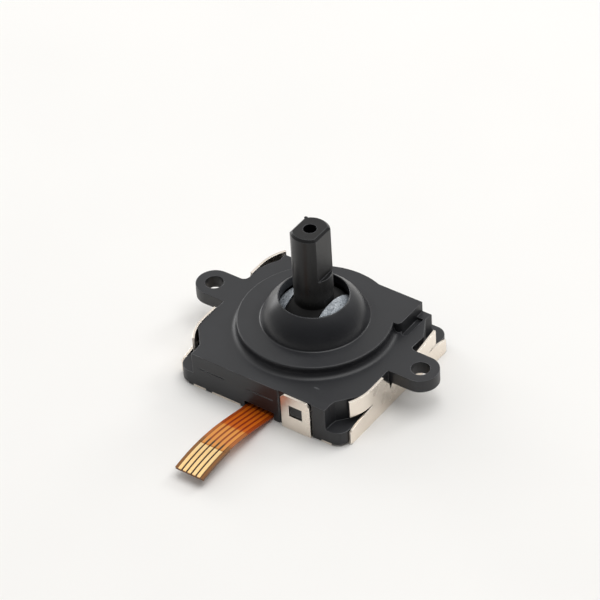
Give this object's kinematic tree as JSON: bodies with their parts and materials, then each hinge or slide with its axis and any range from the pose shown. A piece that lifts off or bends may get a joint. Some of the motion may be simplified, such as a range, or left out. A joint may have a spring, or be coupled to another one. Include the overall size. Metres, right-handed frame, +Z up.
{
  "type": "controller analog stick",
  "caption": "Low-profile two-axis thumb stick module: upright D-cut stick in a domed housing with screw ears, forked steel side leaves and a flat flex tail.",
  "frame": {"origin": "below the stick's axis, on the underside of the steel base", "axes": "+X to the right screw ear, +Y away from the flex tail, +Z up the stick"},
  "size_m": [0.026, 0.0272, 0.0149],
  "materials": {
    "housing": "satin moulded",
    "steel": "bright rolled, nickel plated",
    "stick": "satin moulded",
    "rocker": "greased moulded",
    "slider": "moulded",
    "tray": "moulded",
    "pin": "ground",
    "spring": "drawn wire",
    "wiper": "stamped",
    "film": "amber polyimide film",
    "cover": "clear film",
    "carbon": "printed carbon",
    "gold": "thin plating",
    "stiffener": "laminated film"
  },
  "bodies": {
    "housing": {"upper_housing": "housing", "base_plate": "steel", "inner_tray": "tray", "front_bearing": "slider", "rear_bearing": "slider", "flex_circuit": "film", "carbon_tracks": "carbon", "contact_fingers": "gold", "tail_stiffener": "stiffener", "snap_dome": "spring", "dome_film": "cover", "x_return_spring": "spring", "y_return_spring": "spring"},
    "rocker": {"dome_rocker": "rocker"},
    "pin": {"cross_pin": "pin"},
    "stick": {"stick": "stick"},
    "x_carriage": {"x_slider": "slider", "x_wiper": "wiper"},
    "y_carriage": {"y_slider": "slider", "y_wiper": "wiper"},
    "plunger": {"click_plunger": "slider"}
  },
  "joints": [
    {"name": "side_tilt", "type": "hinge", "parent": "housing", "child": "rocker", "pos_m": [0, 0, 0.0031], "axis": [0, 1, 0], "range_deg": [-11, 11]},
    {"name": "fore_aft_tilt", "type": "hinge", "parent": "rocker", "child": "pin", "pos_m": [0, 0, 0.0031], "axis": [1, 0, 0], "range_deg": [-11, 11]},
    {"name": "stick_press", "type": "slide", "parent": "pin", "child": "stick", "axis": [0, 0, -1], "range_m": [0, 0.00025], "stiffness_N_per_m": 1500},
    {"name": "x_slide", "type": "slide", "parent": "housing", "child": "x_carriage", "axis": [1, 0, 0], "range_m": [-0.000317, 0.000317], "stiffness_N_per_m": 4000, "deforming": ["x_return_spring"]},
    {"name": "y_slide", "type": "slide", "parent": "housing", "child": "y_carriage", "axis": [0, 1, 0], "range_m": [-0.000381, 0.000381], "stiffness_N_per_m": 4000, "deforming": ["y_return_spring"]},
    {"name": "plunger_press", "type": "slide", "parent": "housing", "child": "plunger", "axis": [0, 0, -1], "range_m": [0, 0.00025], "deforming": ["snap_dome", "dome_film"]}
  ],
  "couplings": [
    {"joint": "side_tilt", "follows": "x_slide", "rad_per_m": -604.23},
    {"joint": "fore_aft_tilt", "follows": "y_slide", "rad_per_m": 503.78},
    {"joint": "plunger_press", "follows": "stick_press", "ratio": 1}
  ]
}
